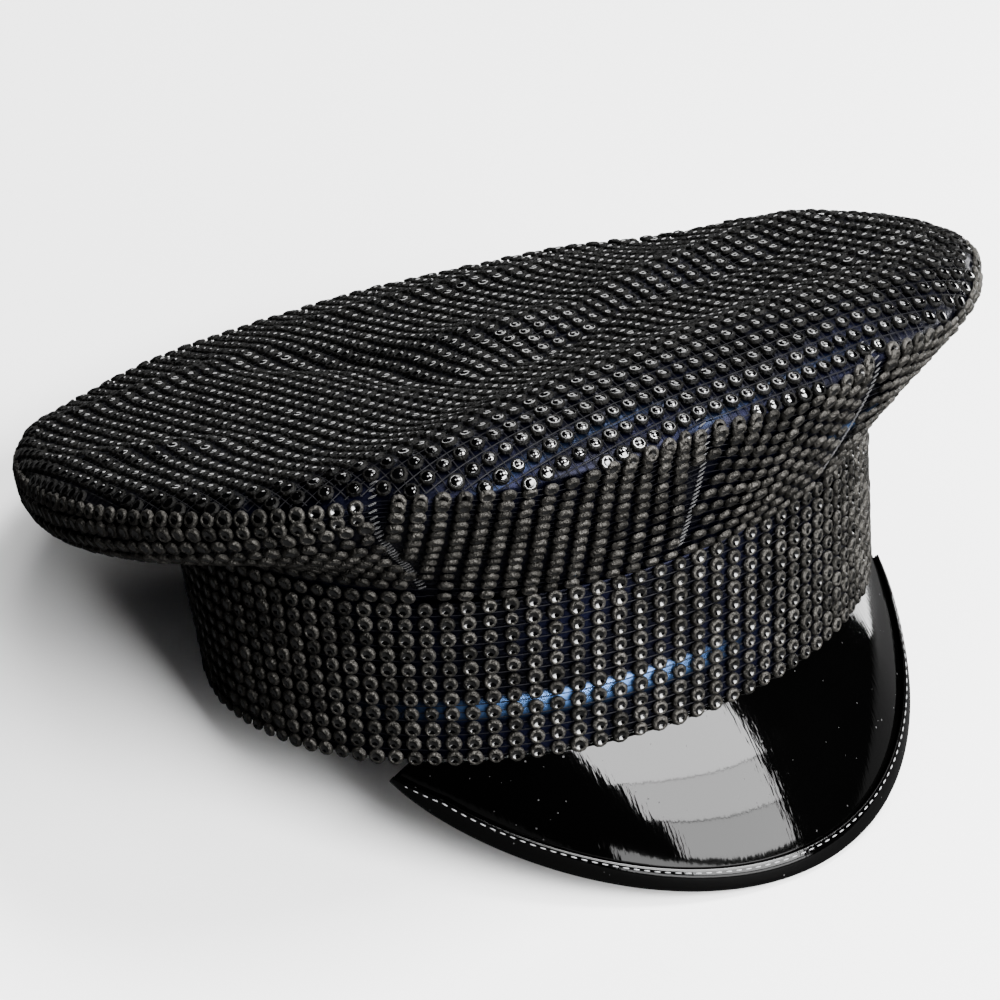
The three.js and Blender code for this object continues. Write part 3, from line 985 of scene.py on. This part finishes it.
@dataclass
class SidePanel:
    """One panel between the crown's edge and the band, with its own stones and net."""

    name: str
    low: float
    high: float
    cloth: StoneCloth
    pitch_along: float
    pitch_down: float
    seed: int
    columns: int
    lean: float = 0.0
    droop: float = 0.0
    first_row: float = 1.7
    last_row: float = 2.0
    end_gap: float = 1.6
    seam_gap: float = 0.03
    last_level: float = 2.99
    rows: int = 12

    def spot(self, u: Array, v: Array) -> tuple[Array, Array]:
        """Return the azimuth and the level at two shares of the panel."""
        azimuth = np.radians(self.low + (self.high - self.low) * u)
        start = FORM.edge_seam(azimuth) + self.seam_gap
        return azimuth, start + (self.last_level - start) * v

    def lengths(self, v: float) -> tuple[Array, Array]:
        """Return shares along the panel and the distances to them from its middle."""
        u = np.linspace(0, 1, 120)
        reach = reach_along(FORM.crown_face(*self.spot(u, np.full_like(u, v))))
        return u, reach - reach[-1] / 2

    def depths(self) -> tuple[Array, Array]:
        """Return shares down the panel's middle and the distances to them from its top."""
        v = np.linspace(0, 1, 80)
        return v, reach_along(FORM.crown_face(*self.spot(np.full_like(v, 0.5), v)))

    def row_count(self, depth: Array) -> int:
        """Return the number of steps between the rows."""
        return round((depth[-1] - self.first_row - self.last_row) / self.pitch_down)

    def row_step(self, depth: Array) -> float:
        """Return the step between the rows, so that they fill the panel."""
        return (depth[-1] - self.first_row - self.last_row) / self.row_count(depth)

    def places(self) -> StonePlaces:
        """Return the places of the panel's stones."""
        shares, depth = self.depths()
        parts = []
        for row in range(self.row_count(depth) + 1):
            v = float(np.interp(self.first_row + row * self.row_step(depth), depth, shares))
            u, reach = self.lengths(v)
            shift = (self.lean * row) % self.pitch_along
            count = int(reach[-1] / self.pitch_along) + 1
            at = np.arange(-count, count + 1) * self.pitch_along - shift
            at = at[np.abs(at) < reach[-1] - self.end_gap]
            along = np.interp(at, reach, u)
            azimuth, level = self.spot(along, np.full_like(along, v))
            parts.append(StonePlaces.on_face(FORM.crown_face, azimuth, level, self.cloth.net_depth))
        places = StonePlaces.joined(parts)
        places.normals = unit(places.normals - np.array([0.0, 0.0, self.droop]))
        return places

    def net_place(self, u: Array, v: Array) -> Array:
        """Return points of the net at rest."""
        return FORM.at_rest(below_face(FORM.crown_face, *self.spot(u, v), self.cloth.net_depth))

    def build(self) -> list[bpy.types.Object]:
        """Build the stones and the net."""
        stones = self.cloth.stones(f"{self.name}_stone_cloth", self.places(), [self.name], self.seed)
        shares, depth = self.depths()
        charts = {v: self.lengths(v) for v in np.linspace(0, 1, self.rows + 1)}
        known = np.array(sorted(charts))

        def chart(u: Array, v: Array) -> Array:
            """Return the stone column and row at two shares of the net."""
            nearest = known[np.abs(v[:, None] - known).argmin(axis=1)]
            along = np.array([np.interp(a, *charts[b]) for a, b in zip(u, nearest)])
            down = (np.interp(v, shares, depth) - self.first_row) / self.row_step(depth)
            return np.stack([(along + self.lean * down) / self.pitch_along, down], axis=-1)

        grid = shaped_grid(self.columns, self.rows, self.net_place)
        map_grid(grid, chart, "stones")
        return [stones, self.cloth.net_sheet(f"{self.name}_net", grid)]


@dataclass
class Band:
    """The upright band: stones in leaning columns over a net, and satin that swells low down, with a
    painted glint there.
    """

    cloth: StoneCloth
    satin: bpy.types.Material
    column_count: int = 106
    row_pitch: float = 4.6
    lowest: float = 0.9
    rows: int = 11
    lean: float = 0.08
    # Strip low on the band where the satin swells and a pale blue glint is painted on it.
    glint_swell_height: float = 15.0
    glint_swell_width: float = 3.0
    glint_swell_middle: float = -0.66
    glint_swell_reach: float = 0.52
    glint_swell_growth: float = 1.1
    glint_swell_range: tuple = (0.22, 0.8, 1.0)
    columns: int = 200
    net_rows: int = 16
    satin_rows: int = 90

    def column_azimuth(self, column: Array, height: Array) -> Array:
        """Return the azimuth of a column at a height, as the columns lean."""
        shift = self.lean * height / self.band_radius()
        return column * (2 * math.pi / self.column_count) + shift

    @staticmethod
    def band_radius() -> float:
        """Return the band's mean radius."""
        return (FORM.band_width + FORM.band_length) / 4

    def places(self) -> StonePlaces:
        """Return the places of the band's stones."""
        row, column = np.meshgrid(np.arange(self.rows), np.arange(self.column_count), indexing="ij")
        height = self.lowest + row.ravel() * self.row_pitch
        azimuth = self.column_azimuth(column.ravel() - self.column_count / 2, height)
        azimuth = (azimuth + math.pi) % (2 * math.pi) - math.pi
        level = 1 - height / FORM.band_height_front
        return StonePlaces.on_face(FORM.band_face, azimuth, level, self.cloth.net_depth)

    def net_place(self, u: Array, v: Array) -> Array:
        """Return points of the net at rest."""
        return FORM.at_rest(below_face(FORM.band_face, (u * 2 - 1) * math.pi, v, self.cloth.net_depth))

    def chart(self, u: Array, v: Array) -> Array:
        """Return the stone column and row at two shares of the net."""
        height = FORM.band_height_front * (1 - v)
        azimuth = (u * 2 - 1) * math.pi - self.lean * height / self.band_radius()
        column = azimuth / (2 * math.pi / self.column_count)
        return np.stack([column, (height - self.lowest) / self.row_pitch], axis=-1)

    def satin_place(self, u: Array, v: Array) -> Array:
        """Return points of the satin at rest."""
        depth = FORM.stone_layer + FORM.layer_gap
        return FORM.at_rest(below_face(FORM.band_face, (u * 2 - 1) * math.pi, v, depth))

    def swell_and_painted_glint(self, u: Array, v: Array) -> Array:
        """Return how far the satin swells and shows a painted glint, in one strip round the wearer's right
        front.
        """
        height = FORM.band_height_front * (1 - v)
        along = ((u * 2 - 1) * math.pi - self.glint_swell_middle) / self.glint_swell_reach
        least, middle, most = self.glint_swell_range
        brighter = np.clip(middle + self.glint_swell_growth * along, least, most)
        return brighter * np.exp(-(((height - self.glint_swell_height) / self.glint_swell_width) ** 4) - along ** 4)

    def build(self) -> list[bpy.types.Object]:
        """Build the stones, the net and the satin."""
        stones = self.cloth.stones("band_stone_cloth", self.places(), ["band_stones"], SEED + 1)
        grid = shaped_grid(self.columns, self.net_rows, self.net_place)
        map_grid(grid, self.chart, "stones")
        net = self.cloth.net_sheet("band_net", grid)
        sheet = shaped_grid(self.columns * 2, self.satin_rows, self.satin_place)
        # The attribute swells the satin and paints its glint.
        mark_grid(sheet, self.swell_and_painted_glint, "swell_and_painted_glint")
        lining = close_grid(sheet, "band_satin_lining")
        satin = finish_piece(lining, [self.satin], Slot.SATIN, ["band_satin"])
        thicken(satin, FORM.band_satin)
        return [stones, net, satin]


@dataclass(frozen=True)
class GlintSwellStrip:
    """A strip of the crown's satin that swells and shows a painted glint: its middle, half sizes, slope
    and brightness.
    """

    x: float
    y: float
    length: float
    width: float
    turn: float
    amount: float

    def at(self, points: Array) -> Array:
        """Return how strongly the strip swells and shows its painted glint at points of the worn crown."""
        along = points[:, 0] - self.x
        across = points[:, 1] - self.y - along * math.tan(math.radians(self.turn))
        return self.amount * np.exp(-((along / self.length) ** 4) - (across / self.width) ** 4)


@dataclass
class CrownSatin:
    """The satin of the crown, one soft wall under all its stones."""

    satin: bpy.types.Material
    thickness: float = 1.2
    columns: int = 350
    rows: int = 135
    # Two strips above the front edge and one spot below it, where the satin swells and a pale blue glint
    # is painted on it.
    glint_strips: tuple = (
        GlintSwellStrip(-60.0, -100.5, 36.0, 1.9, -3.0, 0.12),
        GlintSwellStrip(2.0, -110.5, 30.0, 1.9, 5.0, 0.12),
    )
    glint_strip_end: float = 1.95
    glint_spot_azimuth: float = 0.34
    glint_spot_level: float = 2.59
    glint_spot_reach: float = 0.1
    glint_spot_height: float = 0.035

    @staticmethod
    def spot(u: Array, v: Array) -> tuple[Array, Array]:
        """Return the azimuth and the level at two shares of the crown."""
        return (u * 2 - 1) * math.pi, np.maximum(v * 3, TINY_LEVEL)

    def place(self, u: Array, v: Array) -> Array:
        """Return points of the satin at rest."""
        depth = FORM.stone_layer + FORM.layer_gap
        return FORM.at_rest(below_face(FORM.crown_face, *self.spot(u, v), depth))

    def swell_and_painted_glint(self, u: Array, v: Array) -> Array:
        """Return how far the satin swells and shows a painted glint, in two strips above the front edge
        and one spot below.
        """
        azimuth, level = self.spot(u, v)
        points = FORM.crown_face(azimuth, level)
        above = sum(strip.at(points) for strip in self.glint_strips) * (level < self.glint_strip_end)
        beside = (azimuth - self.glint_spot_azimuth) / self.glint_spot_reach
        below = (level - self.glint_spot_level) / self.glint_spot_height
        return above + np.exp(-(beside ** 2) - below ** 2)

    def build(self) -> list[bpy.types.Object]:
        """Build the wall."""
        sheet = shaped_grid(self.columns, self.rows, self.place)
        # The attribute swells the satin and paints its glint.
        mark_grid(sheet, self.swell_and_painted_glint, "swell_and_painted_glint")
        mesh = close_grid(sheet, "crown_satin_lining")
        satin = finish_piece(mesh, [self.satin], Slot.SATIN, ["crown_satin"])
        thicken(satin, self.thickness)
        return [satin]


@dataclass
class Peak:
    """The steep patent leather peak, its folded binding and the stitches along it."""

    leather: bpy.types.Material
    binding_leather: bpy.types.Material
    thread: bpy.types.Material
    columns: int = 150
    rows: int = 40
    binding_width: float = 7.0
    binding_thickness: float = 0.9
    binding_gap: float = 0.35
    edge_inset: float = 1.8
    end_share: float = 0.4
    stitch_pitch: float = 2.9
    stitch_length: float = 2.0
    stitch_radius: float = 0.24
    stitch_inset: float = 1.0
    tuck: float = 0.015
    fold_start: float = 0.3
    fold_radius: float = 1.9
    puff: float = 0.25
    binding_columns: int = 190
    binding_rows: int = 28

    def edge_frame(self, sweep: Array) -> tuple[Array, Array, Array, Array]:
        """Return edge points, the directions inwards and up, and the sheet's length at sweeps."""
        one = np.ones_like(sweep)
        edge = FORM.peak_face(sweep, one)
        length = np.linalg.norm(edge - FORM.peak_face(sweep, one * 0), axis=-1)
        up, _ = face_frame(FORM.peak_face, sweep, one * 0.996)
        step = 1e-3
        along = unit(FORM.peak_face(sweep + step, one) - FORM.peak_face(sweep - step, one))
        return edge, unit(np.cross(up, along)), up, length

    def sheet_place(self, u: Array, v: Array) -> Array:
        """Return points of the sheet's outer face at rest."""
        sweep = (u * 2 - 1) * math.radians(FORM.peak_sweep)
        *_, length = self.edge_frame(sweep)
        level = v * (1 - self.edge_inset / length + self.tuck) - self.tuck
        return FORM.at_rest(below_face(FORM.peak_face, sweep, level, -FORM.peak_sheet / 2))

    def sheet(self) -> bpy.types.Object:
        """Build the leather sheet."""
        mesh = close_grid(shaped_grid(self.columns, self.rows, self.sheet_place), "peak_leather")
        piece = finish_piece(mesh, [self.leather], Slot.LEATHER, ["peak"])
        thicken(piece, FORM.peak_sheet)
        return piece

    def binding_place(self, u: Array, v: Array) -> Array:
        """Return points of the binding at rest: over the sheet, round its edge and back below."""
        sweep = (u * 2 - 1) * math.radians(FORM.peak_sweep)
        edge, inward, up, length = self.edge_frame(sweep)
        width = np.minimum(self.binding_width, length * self.end_share)
        fold_end = 1 - self.fold_start
        turn = np.clip((v - self.fold_start) / (fold_end - self.fold_start), 0, 1) * math.pi
        above = 1 - v / self.fold_start
        below = (v - fold_end) / self.fold_start
        flat = np.where(v < 0.5, above, below).clip(0, 1)
        across = self.fold_radius * (1 - np.sin(turn)) + (width - self.fold_radius) * flat
        outside = FORM.peak_sheet / 2 + self.binding_gap + self.binding_thickness
        height = np.cos(turn) * (outside + self.puff * np.sin(flat * math.pi))
        return FORM.at_rest(edge + inward * across[..., None] + up * height[..., None])

    def binding(self) -> bpy.types.Object:
        """Build the strip that is folded over the peak's edge, as a rounded section swept along it."""
        grid = shaped_grid(self.binding_columns, self.binding_rows, self.binding_place)
        mesh = close_grid(grid, "peak_edge_binding")
        piece = finish_piece(mesh, [self.binding_leather], Slot.LEATHER, ["peak_binding"])
        thicken(piece, self.binding_thickness)
        return piece

    def stitches(self) -> bpy.types.Object:
        """Build the row of stitches along the inner side of the binding."""
        limit = math.radians(FORM.peak_sweep - 3)
        sweep = np.linspace(-limit, limit, 900)
        edge, inward, up, length = self.edge_frame(sweep)
        width = np.minimum(self.binding_width, length * self.end_share)
        height = FORM.peak_sheet / 2 + self.binding_gap + self.binding_thickness + 0.05
        line = edge + inward * (width - self.stitch_inset)[:, None] + up * height
        return thread_row("peak_stitches", line, self.stitch_pitch, self.stitch_length,
                          self.stitch_radius, self.thread, Slot.LEATHER)

    def build(self) -> list[bpy.types.Object]:
        """Build the peak."""
        return [self.sheet(), self.binding(), self.stitches()]


def thread_row(name: str, line: Array, pitch: float, length: float, radius: float,
               material: bpy.types.Material, slot: Slot, turn: Array | None = None) -> bpy.types.Object:
    """Lay short stitches along a line.

    Args:
        name: the piece's name.
        line: points of the line on the worn cap, in millimetres.
        pitch: distance from one stitch to the next.
        length: length of a stitch.
        radius: radius of the thread.
        material: the thread's material.
        slot: the record's material slot.
        turn: directions of the stitches at the line's points, or None to follow the line.

    Returns:
        The stitches as one piece.
    """
    bead = bmesh.new()
    bmesh.ops.create_uvsphere(bead, u_segments=6, v_segments=4, radius=1.0)
    bead.verts.index_update()
    shape = np.array([tuple(vert.co) for vert in bead.verts])
    faces = [[vert.index for vert in one.verts] for one in bead.faces]
    bead.free()
    reach = reach_along(line)
    at = np.arange(pitch / 2, reach[-1], pitch)
    where = np.stack([np.interp(at, reach, line[:, axis]) for axis in range(3)], axis=-1)
    heading = np.gradient(line, axis=0) if turn is None else turn
    along = unit(np.stack([np.interp(at, reach, heading[:, axis]) for axis in range(3)], axis=-1))
    side = unit(np.cross(along, np.array([0.3, 0.2, 1.0])))
    over = np.cross(along, side)
    placed = (where[:, None] + shape[None, :, 2:] * (length / 2) * along[:, None]
              + shape[None, :, :1] * radius * side[:, None] + shape[None, :, 1:2] * radius * over[:, None])
    verts = (FORM.at_rest(placed) * MM).reshape(-1, 3)
    step = len(shape)
    turned = np.linalg.det(np.stack([side[0], over[0], along[0]])) < 0
    ordered = [one[::-1] if turned else one for one in faces]
    mesh = bpy.data.meshes.new(name)
    all_faces = [[i + step * k for i in one] for k in range(len(at)) for one in ordered]
    mesh.from_pydata(verts.tolist(), [], all_faces)
    mesh.polygons.foreach_set("use_smooth", [True] * len(mesh.polygons))
    mesh.update()
    return finish_piece(mesh, [material], slot)


@dataclass
class Seams:
    """Gathered stitches at the seams between the panels."""

    thread: bpy.types.Material
    pitch: float = 1.9
    length: float = 2.6
    radius: float = 0.24
    depth: float = 1.1
    above_edge_seam: float = 0.25
    last_level: float = 2.9
    slant: tuple = (0.2, 0.0, 0.35)

    def build(self) -> list[bpy.types.Object]:
        """Build the stitches of each front seam."""
        pieces = []
        for number, seam in enumerate(FORM.seams, start=1):
            level = np.linspace(FORM.edge_seam_level - self.above_edge_seam, self.last_level, 200)
            azimuth = np.full_like(level, math.radians(seam))
            line = below_face(FORM.crown_face, azimuth, level, self.depth)
            _, across = face_frame(FORM.crown_face, azimuth, level)
            turn = across + np.array(self.slant)
            pieces.append(thread_row(f"corner_seam_{number}", line, self.pitch, self.length,
                                     self.radius, self.thread, Slot.STONES, turn))
        return pieces


@dataclass(frozen=True)
class SoftPanel:
    """One soft light panel that faces the cap: its name, its direction in degrees, and its
    distance, width and height in metres, and its power."""

    name: str
    azimuth: float
    elevation: float
    distance: float
    width: float
    height: float
    watts: float

    def build(self) -> bpy.types.Object:
        """Put the light into the scene."""
        light = bpy.data.lights.new(self.name, "AREA")
        light.shape = "RECTANGLE"
        light.size = self.width
        light.size_y = self.height
        light.energy = self.watts
        azimuth, elevation = math.radians(self.azimuth), math.radians(self.elevation)
        away = Vector((
            math.sin(azimuth) * math.cos(elevation),
            -math.cos(azimuth) * math.cos(elevation),
            math.sin(elevation),
        ))
        lamp = bpy.data.objects.new(self.name, light)
        lamp.location = away * self.distance + Vector((0, 0, LAMP_TARGET_HEIGHT))
        lamp.rotation_euler = away.to_track_quat("Z", "Y").to_euler()
        bpy.context.scene.collection.objects.link(lamp)
        return lamp


@dataclass
class Studio:
    """Table, lights, world and camera."""

    camera_place: tuple = (-0.7109, -0.7998, 0.8207)
    camera_right: tuple = (0.7586, -0.6499, 0.0468)
    camera_up: tuple = (0.3524, 0.4695, 0.8096)
    camera_back: tuple = (-0.5481, -0.5976, 0.5852)
    focal_pixels: float = 4613.86
    image_pixels: float = 1000.0
    sensor: float = 36.0
    shift_pixels: tuple = (51.05, -6.18)
    world_grey: float = 0.008
    panels: tuple = (
        SoftPanel("window_light", 5.0, 43.0, 1.6, 1.3, 0.74, 98.0),
        SoftPanel("window_middle", 5.0, 23.6, 1.6, 1.15, 0.34, 28.5),
        SoftPanel("window_foot", 6.0, 12.0, 1.6, 1.0, 0.29, 14.0),
        SoftPanel("front_strip", -2.0, 3.0, 1.6, 1.6, 0.12, 5.0),
        SoftPanel("main_light", 70.0, 66.0, 3.5, 1.0, 1.0, 210.0),
        SoftPanel("back_light", 122.0, 50.0, 1.6, 0.7, 0.7, 12.0),
        SoftPanel("low_back_light", 148.0, 22.0, 1.6, 0.6, 0.4, 5.0),
        SoftPanel("top_light", -70.0, 84.0, 2.4, 0.5, 0.5, 12.0),
        SoftPanel("side_card", 88.0, 5.0, 0.55, 0.2, 0.16, 2.0),
    )

    def camera(self) -> None:
        """Make the camera at the photograph's angle."""
        data = bpy.data.cameras.new("photo_camera")
        data.sensor_width = self.sensor
        data.lens = self.focal_pixels / self.image_pixels * self.sensor
        data.shift_x = -self.shift_pixels[0] / self.image_pixels
        data.shift_y = self.shift_pixels[1] / self.image_pixels
        data.clip_end = 50.0
        camera = bpy.data.objects.new("photo_camera", data)
        rows = [[right, up, back, place] for right, up, back, place in
                zip(self.camera_right, self.camera_up, self.camera_back, self.camera_place)]
        camera.matrix_world = Matrix(rows + [[0, 0, 0, 1]])
        bpy.context.scene.collection.objects.link(camera)
        bpy.context.scene.camera = camera

    def table(self) -> None:
        """Make the pale table."""
        mesh = bmesh.new()
        bmesh.ops.create_grid(mesh, x_segments=1, y_segments=1, size=6.0)
        made = bpy.data.meshes.new("table")
        mesh.to_mesh(made)
        mesh.free()
        made.materials.append(PaleTable().material())
        table = bpy.data.objects.new("table", made)
        bpy.context.scene.collection.objects.link(table)

    def build(self) -> None:
        """Build the studio."""
        self.camera()
        self.table()
        for panel in self.panels:
            panel.build()
        world = bpy.data.worlds.new("soft_room")
        world.use_nodes = True
        nodes = NodeTree(world.node_tree)
        grey = (self.world_grey, self.world_grey, self.world_grey * 1.02, 1.0)
        back = nodes.add("ShaderNodeBackground", {"Color": grey, "Strength": 1.0})
        nodes.add("ShaderNodeOutputWorld", {"Surface": back.outputs[0]})
        bpy.context.scene.world = world


def side_panels(cloth: StoneCloth) -> list[SidePanel]:
    """Return the five panels from the wearer's right round the front to the left."""
    right, centre_right, centre_left, left = FORM.seams
    return [
        SidePanel("side_panel_right", -180, right, cloth, 5.3, 5.0, SEED + 2, 150),
        SidePanel("front_panel_right", right, centre_right, cloth, 5.7, 4.4, SEED + 3, 44, 0.6, 0.4),
        SidePanel("front_panel_centre", centre_right, centre_left, cloth, 5.7, 4.4, SEED + 4, 34,
                  0.6, 0.4),
        SidePanel("front_panel_left", centre_left, left, cloth, 5.7, 4.4, SEED + 5, 40, 0.6, 0.4),
        SidePanel("side_panel_left", left, 180, cloth, 5.3, 5.0, SEED + 6, 150),
    ]


def report(pieces: Iterable[bpy.types.Object]) -> None:
    """Log each piece with its size."""
    for piece in pieces:
        log.info("%s: %d faces", piece.name, len(piece.data.polygons))


def main() -> None:
    """Build the studio and the cap, piece by piece."""
    logging.basicConfig(level=logging.INFO, format="%(name)s: %(message)s")
    Studio().build()
    stone = JetStone().material()
    dark_cup = DARK_CUP.material()
    crown_net = StoneNet("crown_net", 0.06, 0.06).material()
    band_net = StoneNet("band_net", 0.0, 0.07, (0.005, 0.005, 0.007, 1.0)).material()
    cloth = StoneCloth(DOMED_STONE, dark_cup, stone, crown_net)
    band_cloth = StoneCloth(HOLLOW_STONE, GREY_CUP.material(), stone, band_net)
    satin = NavySatin().material()
    report(CrownSatin(satin).build())
    report(CrownTop(cloth).build())
    for panel in side_panels(band_cloth):
        report(panel.build())
    report(Band(band_cloth, satin).build())
    seam_thread = StitchThread("seam_thread", (0.02, 0.02, 0.022, 1.0)).material()
    report(Seams(seam_thread).build())
    edge_thread = StitchThread("peak_thread", (0.35, 0.35, 0.36, 1.0)).material()
    leather = PatentLeather().material()
    binding = PatentLeather("binding_leather", 0.06, 0.03, 0.05).material()
    report(Peak(leather, binding, edge_thread).build())


if __name__ == "__main__":
    main()
